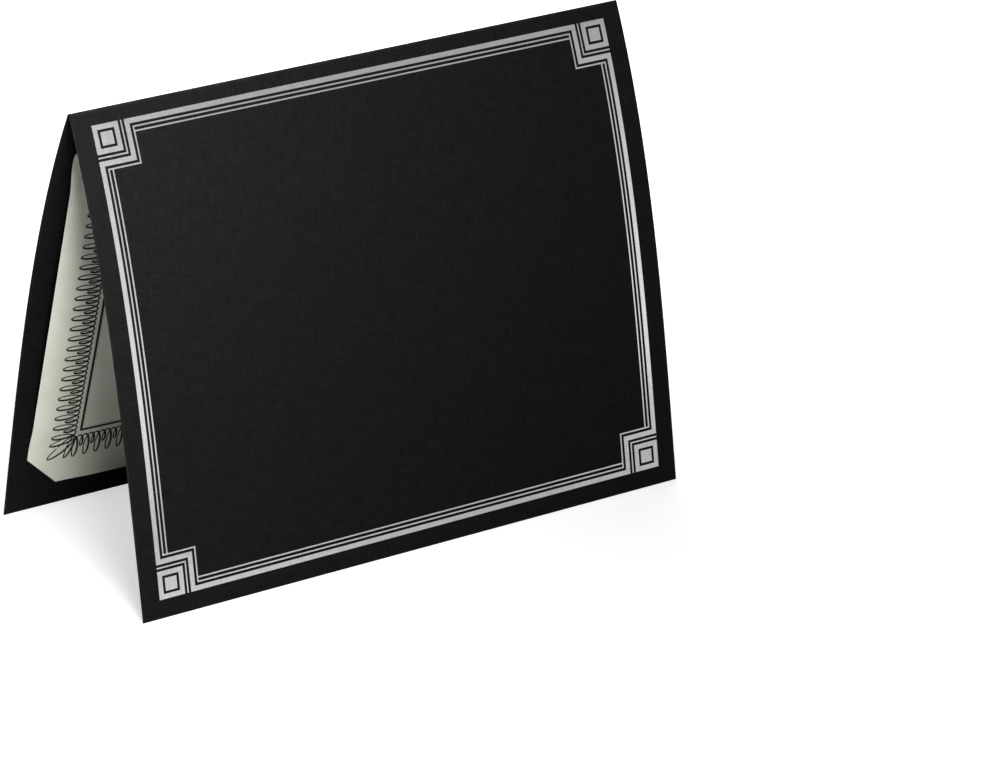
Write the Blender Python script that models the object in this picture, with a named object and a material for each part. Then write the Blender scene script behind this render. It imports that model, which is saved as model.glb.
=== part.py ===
"""A tent-standing certificate holder: one scored card cover with a foil-stamped frame and a tucked-in sheet.

The cover is one sheet of card, scored and folded along its long side. It stands like a tent on its two
cut edges, and both leaves bow outwards. Four diagonal slits in the back leaf hold the corners of a
letter-size certificate, and the front leaf carries a frame of stamped foil.

Every flat blank is drawn in the plane of the card: x runs along the fold and s runs down the leaf from
the fold. The blank is cut at the bend lines, given its thickness and then bent to the leaf's curve.
Heights above the card's middle surface are positive on its outside.

Units are metres, +Z is up, and the origin lies on the table midway between the two cut edges.
"""

import math

import bmesh
import bpy
from mathutils import Matrix, Vector

# Certificate sheet, letter size, and how it sits in its slits
SHEET_WIDTH = 0.2794
SHEET_HEIGHT = 0.2159
SHEET_THICKNESS = 0.00012
SHEET_SLIDE = -0.0026
SHEET_ARCH = 0.0058
SHEET_END_ARCH = 0.002
SHEET_COLUMNS = 16
TUCKED_REACH = 0.0145
SLIT_SPARE = 0.002

# Cover card: its leaves stand out past the sheet by these margins
SIDE_MARGIN = 0.0127
END_MARGIN = 0.0127
CARD_THICKNESS = 0.00035
SEAT_GAP = 0.0003
CLOSED_CLEARANCE = 0.00006

# Stance: how far a leaf leans from upright at the fold, halfway down and at its cut edge, in degrees
LEAN_AT_FOLD = 27.0
LEAN_HALFWAY = 14.6
LEAN_AT_FOOT = 11.3
BENDS = 32

# Foil frame stamped on the front leaf
FOIL_THICKNESS = 0.00005
FOIL_SIDE_INSET = 0.0098
FOIL_FOLD_INSET = 0.0076
FOIL_FOOT_INSET = 0.0089
BAND_WIDTH = 0.00265
BAND_TO_LINE = 0.0011
LINE_WIDTH = 0.00095
LINE_TO_LINE = 0.0012
RING_SIZE = 0.0139
RING_TO_SQUARE = 0.00105
EMBLEM_GAP = 0.00105

COVER_WIDTH = SHEET_WIDTH + 2 * SIDE_MARGIN
COVER_HEIGHT = SHEET_HEIGHT + 2 * END_MARGIN
SLIT_WIDTH = CARD_THICKNESS + 2 * (SEAT_GAP + SHEET_THICKNESS)
SLIT_HALF_LENGTH = TUCKED_REACH / math.sqrt(2) + abs(SHEET_SLIDE) * math.sqrt(2) + SLIT_SPARE
FOLD_SIDES = 24
SEGMENT = COVER_HEIGHT / BENDS
CARD_FACE = CARD_THICKNESS / 2
CORNER_NAMES = {
    (-1, -1): "fold_left",
    (1, -1): "fold_right",
    (-1, 1): "foot_left",
    (1, 1): "foot_right",
}
BACK = 1
FRONT = -1


def clear_scene():
    """Remove whatever the scene holds."""
    for item in list(bpy.data.objects):
        bpy.data.objects.remove(item, do_unlink=True)


def make_material(name, colour, roughness, metallic):
    """One plain surface for a group of pieces."""
    material = bpy.data.materials.new(name)
    material.use_nodes = True
    shader = material.node_tree.nodes["Principled BSDF"]
    shader.inputs["Base Color"].default_value = (*colour, 1.0)
    shader.inputs["Roughness"].default_value = roughness
    shader.inputs["Metallic"].default_value = metallic
    return material


def lean(share):
    """The leaf's lean from upright, in radians, at a share of its height: a curve through the three leans."""
    bow = 2 * (LEAN_AT_FOLD - 2 * LEAN_HALFWAY + LEAN_AT_FOOT)
    slope = LEAN_AT_FOOT - LEAN_AT_FOLD - bow
    return math.radians(LEAN_AT_FOLD + slope * share + bow * share * share)


def leaf_curve():
    """The leaf's middle surface below the fold axis, as (out, up) points, with a mitred normal at each."""
    leans = [lean((index + 0.5) / BENDS) for index in range(BENDS)]
    points = [Vector((0.0, 0.0))]
    for angle in leans:
        points.append(points[-1] + SEGMENT * Vector((math.sin(angle), -math.cos(angle))))
    faces = [Vector((math.cos(angle), math.sin(angle))) for angle in leans]
    mitres = [faces[0]]
    for above, below in zip(faces, faces[1:]):
        mitres.append((above + below) / (1.0 + above.dot(below)))
    # The last one lies level, so the cut edge stands flat on the table.
    mitres.append(Vector((1.0 / faces[-1].x, 0.0)))
    return points, mitres


CURVE, MITRES = leaf_curve()
FOLD_HEIGHT = -CURVE[-1].y
# When the cut edges meet, this angle is left between each leaf's fold end and the plane between the leaves.
CLOSED_LEAN = math.radians(LEAN_AT_FOLD) - math.atan2(CURVE[-1].x, FOLD_HEIGHT)
LEAF_START = (CARD_THICKNESS + CLOSED_CLEARANCE) / (2 * math.sin(CLOSED_LEAN))
FOLD_RADIUS = LEAF_START - SEAT_GAP


def card_at(s):
    """The leaf's middle surface at a distance s below the fold axis, as (out, up), and its mitred normal."""
    index = min(max(int(s / SEGMENT), 0), BENDS - 1)
    share = s / SEGMENT - index
    return CURVE[index].lerp(CURVE[index + 1], share), MITRES[index].lerp(MITRES[index + 1], share)


def bend(flat, side):
    """Take a flat blank's point (x, s, height) to its place on the bowed leaf, as seen from the fold axis."""
    middle, outwards = card_at(flat.y)
    place = middle + flat.z * outwards
    return Vector((flat.x, side * place.x, place.y))


def cut_line(blank, point, normal):
    """Cut a flat blank along a line, and mark the new edges so that they are kept."""
    everything = blank.verts[:] + blank.edges[:] + blank.faces[:]
    cut = bmesh.ops.bisect_plane(
        blank, geom=everything, dist=1e-7, plane_co=(*point, 0.0), plane_no=(*normal, 0.0)
    )
    for piece in cut["geom_cut"]:
        if isinstance(piece, bmesh.types.BMEdge):
            piece.seam = True


def flat_blank(outlines, cuts=()):
    """A flat blank from its outline and any holes, cut at each bend line and along any further lines."""
    blank = bmesh.new()
    edges = []
    for outline in outlines:
        corners = [blank.verts.new((x, s, 0.0)) for x, s in outline]
        for here, there in zip(corners, corners[1:] + corners[:1]):
            edges.append(blank.edges.new((here, there)))
    bmesh.ops.triangle_fill(blank, use_beauty=True, edges=edges)
    for index in range(1, BENDS):
        cut_line(blank, (0.0, index * SEGMENT), (0.0, 1.0))
    for point, normal in cuts:
        cut_line(blank, point, normal)
    bmesh.ops.dissolve_limit(
        blank,
        angle_limit=math.radians(0.5),
        use_dissolve_boundaries=False,
        verts=blank.verts,
        edges=blank.edges,
        delimit={"SEAM"},
    )
    return blank


def bent_piece(name, blank, low, high, side, material, parent, rise=None):
    """Give a blank its thickness between two heights, bend it and put it on a leaf."""
    bmesh.ops.triangulate(blank, faces=blank.faces)
    grown = bmesh.ops.extrude_face_region(blank, geom=blank.faces[:])
    upper = {piece for piece in grown["geom"] if isinstance(piece, bmesh.types.BMVert)}
    bmesh.ops.triangulate(blank, faces=blank.faces)
    for vertex in blank.verts:
        vertex.co.z = high if vertex in upper else low
        if rise:
            vertex.co.z += rise(vertex.co.x, vertex.co.y)
    for vertex in blank.verts:
        vertex.co = bend(vertex.co, side)
    bmesh.ops.recalc_face_normals(blank, faces=blank.faces)
    return make_object(name, blank, material, parent)


def make_object(name, geometry, material, parent):
    """Turn finished geometry into a named object with one material, placed by the fold axis."""
    mesh = bpy.data.meshes.new(name)
    geometry.to_mesh(mesh)
    geometry.free()
    mesh.materials.append(material)
    piece = bpy.data.objects.new(name, mesh)
    bpy.context.collection.objects.link(piece)
    piece.parent = parent
    return piece


def make_axis(name):
    """An empty on the fold's axis that carries one leaf."""
    axis = bpy.data.objects.new(name, None)
    axis.empty_display_size = COVER_WIDTH / 10
    axis.location = (0.0, 0.0, FOLD_HEIGHT)
    bpy.context.collection.objects.link(axis)
    return axis


def rectangle(left, right, near, far):
    """A rectangle's corners in the plane of the card."""
    return [(left, near), (right, near), (right, far), (left, far)]


def leaf_outline():
    """A whole leaf, from just clear of the fold to its cut edge."""
    return rectangle(-COVER_WIDTH / 2, COVER_WIDTH / 2, LEAF_START, COVER_HEIGHT)


def slit_places():
    """For each corner of the sheet: the middle of its slit, and the direction across it to the corner."""
    across = SHEET_WIDTH / 2 - TUCKED_REACH / 2
    along = SHEET_HEIGHT / 2 - TUCKED_REACH / 2
    return [
        (Vector((right * across, COVER_HEIGHT / 2 + down * along)), Vector((right, down)).normalized())
        for right, down in CORNER_NAMES
    ]


def slit_outline(middle, outwards):
    """One slit: a thin slanted rectangle cut through the leaf."""
    run = outwards.orthogonal() * SLIT_HALF_LENGTH
    half = outwards * SLIT_WIDTH / 2
    return [middle - run - half, middle + run - half, middle + run + half, middle - run + half]


def make_back_cover(material, parent):
    """The back leaf, with the four slits."""
    slits = [slit_outline(middle, outwards) for middle, outwards in slit_places()]
    blank = flat_blank([leaf_outline(), *slits])
    return bent_piece("back_cover", blank, -CARD_FACE, CARD_FACE, BACK, material, parent)


def make_front_cover(material, parent):
    """The front leaf, which swings about the fold."""
    blank = flat_blank([leaf_outline()])
    return bent_piece("front_cover", blank, -CARD_FACE, CARD_FACE, FRONT, material, parent)


def make_scored_fold(material, parent):
    """The scored line of card between the leaves, as a round bead on the fold's axis."""
    bead = bmesh.new()
    bmesh.ops.create_cone(
        bead,
        cap_ends=True,
        segments=FOLD_SIDES,
        radius1=FOLD_RADIUS,
        radius2=FOLD_RADIUS,
        depth=COVER_WIDTH,
        matrix=Matrix.Rotation(math.radians(90.0), 4, "Y"),
    )
    return make_object("scored_fold", bead, material, parent)


def sheet_bridge(s):
    """How far the leaf bows away behind a sheet that runs straight from its upper slits to its lower ones."""
    upper = card_at(END_MARGIN + TUCKED_REACH / 2)[0]
    lower = card_at(COVER_HEIGHT - END_MARGIN - TUCKED_REACH / 2)[0]
    straight = (lower - upper).normalized()
    outwards = Vector((-straight.y, straight.x))
    return max((card_at(s)[0] - upper).dot(outwards), 0.0)


def sheet_stand_off(x, s, slits):
    """How far the sheet stands off the leaf: not at its slits, and most in its arched middle."""
    across = abs(x - SHEET_SLIDE) / (SHEET_WIDTH / 2)
    down = (s - END_MARGIN) / SHEET_HEIGHT
    arch = SHEET_END_ARCH + (SHEET_ARCH - SHEET_END_ARCH) * math.sin(math.pi * down) ** 2
    arch *= 1.0 - across**3
    to_slit = min((middle - Vector((x, s))).dot(outwards) for middle, outwards in slits)
    free = min(max((to_slit - SLIT_WIDTH) / TUCKED_REACH, 0.0), 1.0)
    return free * free * (3.0 - 2.0 * free) * (sheet_bridge(s) + arch)


def make_certificate(material, parent):
    """The sheet inside the back leaf: each corner dips through its slit and lies behind the leaf."""
    left = SHEET_SLIDE - SHEET_WIDTH / 2
    outline = rectangle(left, left + SHEET_WIDTH, END_MARGIN, END_MARGIN + SHEET_HEIGHT)
    slits = slit_places()
    column = SHEET_WIDTH / SHEET_COLUMNS
    cuts = [((left + index * column, 0.0), (1.0, 0.0)) for index in range(1, SHEET_COLUMNS)]
    for middle, outwards in slits:
        cuts.append((middle - outwards * SLIT_WIDTH / 2, outwards))
        cuts.append((middle + outwards * SLIT_WIDTH / 2, outwards))
    off_card = CARD_FACE + SEAT_GAP + SHEET_THICKNESS / 2

    def rise(x, s):
        past = max((Vector((x, s)) - middle).dot(outwards) for middle, outwards in slits)
        through = min(max(past / SLIT_WIDTH + 0.5, 0.0), 1.0)
        return off_card * (2.0 * through - 1.0) - sheet_stand_off(x, s, slits)

    half = SHEET_THICKNESS / 2
    blank = flat_blank([outline], cuts)
    return bent_piece("certificate", blank, -half, half, BACK, material, parent, rise)


FRAME_RIGHT = COVER_WIDTH / 2 - FOIL_SIDE_INSET
FRAME_NEAR = FOIL_FOLD_INSET
FRAME_FAR = COVER_HEIGHT - FOIL_FOOT_INSET
ANGLE_START = RING_SIZE + EMBLEM_GAP
NOTCH = ANGLE_START + LINE_WIDTH + EMBLEM_GAP


def frame_point(corner, x, s):
    """A point at distances x and s from one outer corner of the foil frame."""
    right, down = corner
    edge = FRAME_FAR if down > 0 else FRAME_NEAR
    return (right * (FRAME_RIGHT - x), edge - down * s)


def notched_frame(side_inset, notch_inset):
    """A closed outline round the frame that steps inwards past the square emblem at each corner."""
    step = NOTCH + notch_inset
    outline = []
    for corner in ((-1, -1), (1, -1), (1, 1), (-1, 1)):
        turn = [(side_inset, step), (step, step), (step, side_inset)]
        if corner[0] != corner[1]:
            turn.reverse()
        outline.extend(frame_point(corner, x, s) for x, s in turn)
    return outline


def make_foil_band(stamp):
    """The broad band, stepped at its corners."""
    return stamp("foil_band", [notched_frame(0.0, 0.0), notched_frame(BAND_WIDTH, BAND_WIDTH)])


def make_foil_lines(stamp):
    """The thin stepped line inside the band, and the four straight lines that butt into its steps."""
    first = BAND_WIDTH + BAND_TO_LINE
    first_inside = first + LINE_WIDTH
    second = first_inside + LINE_TO_LINE
    second_inside = second + LINE_WIDTH
    reach = NOTCH + first_inside
    near = [frame_point((-1, -1), x, s) for x, s in ((reach, first_inside), (reach, second))]
    far = [frame_point((1, 1), x, s) for x, s in ((reach, first_inside), (reach, second))]
    left = [frame_point((-1, -1), x, s) for x, s in ((first_inside, reach), (second, reach))]
    right = [frame_point((1, 1), x, s) for x, s in ((first_inside, reach), (second, reach))]
    gaps = [
        rectangle(near[0][0], far[0][0], near[0][1], near[1][1]),
        rectangle(near[0][0], far[0][0], far[1][1], far[0][1]),
        rectangle(left[0][0], left[1][0], left[0][1], right[0][1]),
        rectangle(right[1][0], right[0][0], left[0][1], right[0][1]),
    ]
    middle = notched_frame(second_inside, first_inside)
    return stamp("foil_inner_lines", [notched_frame(first, first), middle, *gaps])


def make_foil_corner(stamp, corner):
    """One corner's emblem: a square ring, the square inside it and the angle line round it."""
    place = CORNER_NAMES[corner]

    def square(low, high):
        return [frame_point(corner, x, s) for x, s in ((low, low), (high, low), (high, high), (low, high))]

    ring_inside = RING_SIZE - BAND_WIDTH
    square_start = BAND_WIDTH + RING_TO_SQUARE
    start = ANGLE_START
    end = ANGLE_START + LINE_WIDTH
    angle = [(start, 0.0), (end, 0.0), (end, end), (0.0, end), (0.0, start), (start, start)]
    stamp(f"foil_ring_{place}", [square(0.0, RING_SIZE), square(BAND_WIDTH, ring_inside)])
    stamp(f"foil_square_{place}", [square(square_start, RING_SIZE - square_start)])
    stamp(f"foil_angle_{place}", [[frame_point(corner, x, s) for x, s in angle]])


def make_foil(material, parent):
    """All the stamped areas, each lying on the front leaf's outside."""
    low = CARD_FACE + SEAT_GAP

    def stamp(name, outlines):
        blank = flat_blank(outlines)
        return bent_piece(name, blank, low, low + FOIL_THICKNESS, FRONT, material, parent)

    make_foil_band(stamp)
    make_foil_lines(stamp)
    for corner in CORNER_NAMES:
        make_foil_corner(stamp, corner)


def main():
    """Build the whole holder, standing open like a tent."""
    clear_scene()
    card = make_material("black_card", (0.012, 0.012, 0.013), 0.62, 0.0)
    foil = make_material("silver_foil", (0.72, 0.72, 0.72), 0.38, 1.0)
    paper = make_material("cream_paper", (0.80, 0.79, 0.70), 0.8, 0.0)
    standing = make_axis("back_leaf_axis")
    swinging = make_axis("front_leaf_axis")
    make_back_cover(card, standing)
    make_scored_fold(card, standing)
    make_certificate(paper, standing)
    make_front_cover(card, swinging)
    make_foil(foil, swinging)


main()
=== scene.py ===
# %% [markdown]
# A certificate holder, standing like a tent
#
# The real thing is one sheet of black linen card. It is scored across its middle and folded, and it stands
# on its two cut edges with both leaves bowed outwards. A frame of silver foil is stamped on the front leaf.
# Four slits in the back leaf hold the corners of a letter-size certificate with a printed border.
#
# This lesson dresses the plain solids of the holder. It starts by loading them as a fixed frame. The solids
# stay where they are, and every piece made here but the card is told which of the two leaves it moves with.

# %% Load the frame
import math

import bmesh
import bpy
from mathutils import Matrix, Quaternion, Vector


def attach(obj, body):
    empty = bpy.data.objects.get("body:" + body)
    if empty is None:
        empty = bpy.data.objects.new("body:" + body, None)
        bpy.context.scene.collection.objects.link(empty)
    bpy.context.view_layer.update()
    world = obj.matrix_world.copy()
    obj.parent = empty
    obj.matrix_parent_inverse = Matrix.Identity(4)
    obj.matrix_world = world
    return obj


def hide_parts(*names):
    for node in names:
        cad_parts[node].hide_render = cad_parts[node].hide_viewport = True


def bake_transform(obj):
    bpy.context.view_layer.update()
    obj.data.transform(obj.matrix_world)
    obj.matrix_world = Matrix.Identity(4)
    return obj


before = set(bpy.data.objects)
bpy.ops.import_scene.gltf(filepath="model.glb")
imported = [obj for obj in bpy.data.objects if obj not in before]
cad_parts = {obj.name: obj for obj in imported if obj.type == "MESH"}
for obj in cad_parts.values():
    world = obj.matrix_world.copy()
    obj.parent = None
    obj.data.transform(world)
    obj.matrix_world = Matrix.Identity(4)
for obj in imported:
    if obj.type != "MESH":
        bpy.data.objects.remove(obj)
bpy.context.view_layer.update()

MM = 0.001

# %% [markdown]
# The camera comes first. A long lens stands more than two metres away, to the left and above, so the
# holder shows little perspective. A camera looks down its own -Z, so it is aimed at a point near the foot
# of the front leaf, and then rolled by a degree or two, as a hand-held camera is.

# %% Place the camera
CAMERA_PLACE = Vector((-1.19426, -1.85295, 1.06581))
CAMERA_AIM = Vector((0.02414, -0.09647, 0.08970))
CAMERA_ROLL = math.radians(1.784)
CAMERA_LENS = 180.0


def new_object(name, data):
    """Put a new object in the scene."""
    made = bpy.data.objects.new(name, data)
    bpy.context.collection.objects.link(made)
    return made


camera = new_object("photographer", bpy.data.cameras.new("photographer"))
camera.data.lens = CAMERA_LENS
looking = (CAMERA_AIM - CAMERA_PLACE).to_track_quat("-Z", "Y")
camera.location = CAMERA_PLACE
camera.rotation_mode = "QUATERNION"
camera.rotation_quaternion = looking @ Quaternion((0.0, 0.0, 1.0), CAMERA_ROLL)
bpy.context.scene.camera = camera
print("camera to its aim:", round((CAMERA_PLACE - CAMERA_AIM).length, 3), "m")

# %% [markdown]
# Trees of nodes make both the materials and the repeated shapes below. These small helpers add a node, feed
# its inputs and write sums, so that a tree reads like a list of steps.

# %% Helpers for trees of nodes
def add(tree, kind, **settings):
    """Add a node and set its choices."""
    made = tree.nodes.new(kind)
    for name, value in settings.items():
        setattr(made, name, value)
    return made


def feed(tree, socket, value):
    """Join an output to a socket, or write a plain value on it."""
    if isinstance(value, bpy.types.NodeSocket):
        tree.links.new(value, socket)
    else:
        socket.default_value = value


def fed(tree, kind, inputs, **settings):
    """Add a node, feed its inputs and give back its outputs."""
    made = add(tree, kind, **settings)
    for name, value in inputs.items():
        feed(tree, made.inputs[name], value)
    return made.outputs


def sums(tree, operation, *terms):
    """A sum of numbers, such as ADD, MULTIPLY or SINE."""
    return fed(tree, "ShaderNodeMath", dict(enumerate(terms)), operation=operation)[0]


def times(tree, first, second):
    """Two numbers multiplied."""
    return sums(tree, "MULTIPLY", first, second)


def arrows(tree, operation, *terms):
    """A sum of vectors."""
    made = fed(tree, "ShaderNodeVectorMath", dict(enumerate(terms)), operation=operation)
    return made["Value" if operation == "LENGTH" else "Vector"]


def scaled(tree, vector, factor):
    """A vector made longer or shorter."""
    return fed(tree, "ShaderNodeVectorMath", {0: vector, "Scale": factor}, operation="SCALE")["Vector"]


def split(tree, vector):
    """The X, Y and Z of a vector."""
    return fed(tree, "ShaderNodeSeparateXYZ", {0: vector})


def joined(tree, x=0.0, y=0.0, z=0.0):
    """A vector from its X, Y and Z."""
    return fed(tree, "ShaderNodeCombineXYZ", {0: x, 1: y, 2: z})[0]


def ramp(tree, value, start, end, low=0.0, high=1.0, smooth=False):
    """A number that runs from low to high while the value goes from start to end."""
    terms = dict(enumerate((value, start, end, low, high)))
    kind = "SMOOTHSTEP" if smooth else "LINEAR"
    return fed(tree, "ShaderNodeMapRange", terms, clamp=True, interpolation_type=kind)["Result"]


def between(tree, share, low, high):
    """A number that runs from low to high as its share goes from 0 to 1."""
    return ramp(tree, share, 0.0, 1.0, low, high)


def noise(tree, place, scale, detail=2.0, roughness=0.5):
    """Soft random spots between 0 and 1."""
    inputs = {"Vector": place, "Scale": scale, "Detail": detail, "Roughness": roughness}
    return fed(tree, "ShaderNodeTexNoise", inputs)["Fac"]


def in_use(sockets):
    """The sockets that a node's settings leave in use, by name."""
    return {socket.name: socket for socket in sockets if socket.enabled}


def blend_colours(tree, share, first, second):
    """A colour between two others."""
    made = add(tree, "ShaderNodeMix", data_type="RGBA")
    sockets = in_use(made.inputs)
    for name, value in {"Factor": share, "A": first, "B": second}.items():
        feed(tree, sockets[name], value)
    return in_use(made.outputs)["Result"]


print("helpers ready")

# %% [markdown]
# The studio is plain: a wide pale floor, a soft lamp at the reader's left, a broad lamp behind, and a dim
# even fill from all round. The front lamp is near and turned a little aside, so the upper left of the card is
# brighter than its lower right, and the front leaf shades the certificate behind it. The back lamp only
# keeps the back readable, so mirror rays do not see it.
#
# The background is white only to the camera and to mirror rays, through Light Path, so it puts no extra light
# on the holder. On the floor that whiteness grows with the distance, so the holder keeps its shadow. The
# foil mirrors a sky that greys from the horizon upwards.

# %% Build the studio
FLOOR_SIZE = 12.0
WHITE = (1.0, 1.0, 1.0, 1.0)
WHITE_RAYS = ("Is Camera Ray", "Is Glossy Ray", "Is Transmission Ray")
FLOOR_GREY = 0.80
FLOOR_ROUGHNESS = 0.9
FLOOR_LIFT_NEAR = 0.60
MIRRORED_LIFT_NEAR = 0.06
FLOOR_LIFT_FAR = 1.0
LIFT_REACH = (0.16, 0.46)
MIRRORED_REACH = (0.25, 1.1)
SKY_FILL = 0.08
SKY_HORIZON = 0.80
SKY_ABOVE = 0.32
SKY_BAND = (0.05, 0.5)
LAMP_POWER = 11.6
LAMP_SIZE = 0.34
LAMP_PLACE = Vector((-0.25, -0.50, 0.48))
LAMP_AIM = Vector((-0.42, -0.02, 0.60))
BACK_POWER = 12.0
BACK_SIZE = 1.2
BACK_PLACE = Vector((0.25, 0.80, 1.10))
BACK_AIM = Vector((0.0, 0.03, 0.12))

floor_mesh = bmesh.new()
bmesh.ops.create_grid(floor_mesh, x_segments=1, y_segments=1, size=FLOOR_SIZE / 2)
floor_data = bpy.data.meshes.new("studio_floor")
floor_mesh.to_mesh(floor_data)
floor_mesh.free()
floor = new_object("studio_floor", floor_data)


def rays(tree, first, *others):
    """One for rays of these kinds, and nothing for all other rays."""
    path = add(tree, "ShaderNodeLightPath").outputs
    found = path[first]
    for kind in others:
        found = sums(tree, "MAXIMUM", found, path[kind])
    return found


floor_material = bpy.data.materials.new("pale_floor")
floor_material.use_nodes = True
tree = floor_material.node_tree
floor_shader = tree.nodes["Principled BSDF"].inputs
floor_shader["Base Color"].default_value = (FLOOR_GREY, FLOOR_GREY, FLOOR_GREY, 1.0)
floor_shader["Roughness"].default_value = FLOOR_ROUGHNESS
floor_shader["Specular IOR Level"].default_value = 0.0
floor_shader["Emission Color"].default_value = WHITE
from_middle = arrows(tree, "LENGTH", add(tree, "ShaderNodeTexCoord").outputs["Object"])
seen_lift = ramp(tree, from_middle, *LIFT_REACH, FLOOR_LIFT_NEAR, FLOOR_LIFT_FAR, smooth=True)
mirrored_lift = ramp(tree, from_middle, *MIRRORED_REACH, MIRRORED_LIFT_NEAR, FLOOR_LIFT_FAR, smooth=True)
lift = between(tree, rays(tree, "Is Camera Ray"), mirrored_lift, seen_lift)
tree.links.new(times(tree, rays(tree, *WHITE_RAYS), lift), floor_shader["Emission Strength"])
floor_data.materials.append(floor_material)

world = bpy.data.worlds.new("studio_sky")
bpy.context.scene.world = world
world.use_nodes = True
tree = world.node_tree
tree.nodes.clear()
height = split(tree, add(tree, "ShaderNodeTexCoord").outputs["Generated"])["Z"]
mirrored = ramp(tree, height, *SKY_BAND, SKY_HORIZON, SKY_ABOVE, smooth=True)
white_sky = between(tree, rays(tree, "Is Camera Ray"), mirrored, 1.0)
sky = between(tree, rays(tree, *WHITE_RAYS), SKY_FILL, white_sky)
backdrop = fed(tree, "ShaderNodeBackground", {"Color": WHITE, "Strength": sky})[0]
fed(tree, "ShaderNodeOutputWorld", {"Surface": backdrop})


def soft_lamp(name, power, size, place, aim):
    """A round soft lamp that the camera does not see."""
    data = bpy.data.lights.new(name, "AREA")
    data.shape = "DISK"
    data.size = size
    data.energy = power
    lamp = new_object(name, data)
    lamp.location = place
    lamp.rotation_euler = (aim - place).to_track_quat("-Z", "Y").to_euler()
    lamp.visible_camera = False
    return lamp


soft_lamp("front_lamp", LAMP_POWER, LAMP_SIZE, LAMP_PLACE, LAMP_AIM)
back_lamp = soft_lamp("back_lamp", BACK_POWER, BACK_SIZE, BACK_PLACE, BACK_AIM)
back_lamp.visible_glossy = False
bpy.context.scene.view_settings.view_transform = "Standard"
print("lamp to holder:", round((LAMP_AIM - LAMP_PLACE).length, 2), "m")

# %% [markdown]
# Card only bends one way, so each leaf is a flat blank that follows one curve. The curve runs from the back
# foot up the back leaf, over the tight fold and down the front leaf. A leaf leans most at the fold and least
# at its foot, and three leans, in degrees, give a smooth bow. Flat places are written (x, v): x runs along
# the fold, and v is the distance along the card from the middle of the fold, positive on the back leaf.

# %% Draw the curve of the leaves
COVER_WIDTH = 304.8 * MM
COVER_HEIGHT = 241.3 * MM
CARD_THICKNESS = 0.35 * MM
CARD_FACE = CARD_THICKNESS / 2
FOLD_HEIGHT = 231.035 * MM
LEANS = (27.0, 14.6, 11.3)
FOLD_TANGENT = 0.95 * MM
FOLD_STEPS = 18
ROW = 4.0 * MM
FINE_STEPS = 960
KEEP_EVERY = 8
KEPT_GAP = COVER_HEIGHT * KEEP_EVERY / FINE_STEPS

FOLD_LEAN = math.radians(LEANS[0])
FOLD_TURN = math.pi / 2 - FOLD_LEAN
FOLD_BEND = FOLD_TANGENT * math.tan(FOLD_LEAN)
FOLD_SAVING = FOLD_TANGENT - FOLD_BEND * FOLD_TURN
LEAF_LENGTH = COVER_HEIGHT - FOLD_SAVING


def lean(share):
    """The lean from upright, in radians, at a share of the leaf's height."""
    bow = 2 * (LEANS[0] - 2 * LEANS[1] + LEANS[2])
    slope = LEANS[2] - LEANS[0] - bow
    return math.radians(LEANS[0] + slope * share + bow * share * share)


def leaf_points():
    """Points down one leaf, as (out, height), from the line where the two leaves would meet to the foot."""
    step = COVER_HEIGHT / FINE_STEPS
    place = Vector((0.0, FOLD_HEIGHT))
    points = [place.copy()]
    for index in range(FINE_STEPS):
        angle = lean((index + 0.5) / FINE_STEPS)
        place += step * Vector((math.sin(angle), -math.cos(angle)))
        if (index + 1) % KEEP_EVERY == 0:
            points.append(place.copy())
    return points


def fold_points():
    """Points over the fold, from the back leaf to the front leaf."""
    middle = FOLD_HEIGHT - FOLD_BEND / math.sin(FOLD_LEAN)
    turns = [FOLD_TURN * (1.0 - index / FOLD_STEPS) for index in range(2 * FOLD_STEPS + 1)]
    return [Vector((FOLD_BEND * math.sin(turn), middle + FOLD_BEND * math.cos(turn))) for turn in turns]


def straight_curve(name, strokes):
    """A curve whose strokes run straight from place to place."""
    data = bpy.data.curves.new(name, "CURVE")
    data.dimensions = "3D"
    for stroke in strokes:
        spline = data.splines.new("POLY")
        spline.points.add(len(stroke) - 1)
        for point, place in zip(spline.points, stroke):
            point.co = (*place, 1.0)
    return data


down_leaf = leaf_points()
profile_points = [(0.0, out, up) for out, up in reversed(down_leaf[1:])]
profile_points += [(0.0, out, up) for out, up in fold_points()]
profile_points += [(0.0, -out, up) for out, up in down_leaf[1:]]
leaf_profile = new_object("leaf_profile", straight_curve("leaf_profile", [profile_points]))

# %% [markdown]
# Bending a blank by hand would mean moving thousands of points. A Geometry Nodes tree does it in one pass:
# it samples the curve at each point's v, steps off it by the point's own height, and keeps the flat place
# as an attribute, because the linen weave and the wear are drawn in the flat. The sheet's print goes
# through the same tree, so card, foil, paper and ink always agree.

# %% Make the tree that lays a blank on the leaves
def new_tree(name, kind, inputs, outputs):
    """A tree with named inputs and outputs, each with its type."""
    tree = bpy.data.node_groups.new(name, kind)
    for way, sockets in {"INPUT": inputs, "OUTPUT": outputs}.items():
        for label, socket_type in sockets.items():
            tree.interface.new_socket(label, in_out=way, socket_type=socket_type)
    return tree, add(tree, "NodeGroupInput").outputs, add(tree, "NodeGroupOutput").inputs


def new_shape_tree(name, inputs):
    """A Geometry Nodes tree that takes a shape and gives back a shape."""
    shape = {"Geometry": "NodeSocketGeometry"}
    return new_tree(name, "GeometryNodeTree", shape | inputs, shape)


def finish_shape(tree, shape, finish, result):
    """End a tree: make instances real and set the material."""
    real = fed(tree, "GeometryNodeRealizeInstances", {0: shape})[0]
    done = fed(tree, "GeometryNodeSetMaterial", {"Geometry": real, "Material": finish})[0]
    tree.links.new(done, result["Geometry"])


NUMBER = "NodeSocketFloat"
WHOLE = "NodeSocketInt"
VECTOR = "NodeSocketVector"
OBJECT = "NodeSocketObject"
MATERIAL = "NodeSocketMaterial"
ALONG_FOLD = (1.0, 0.0, 0.0)

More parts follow.
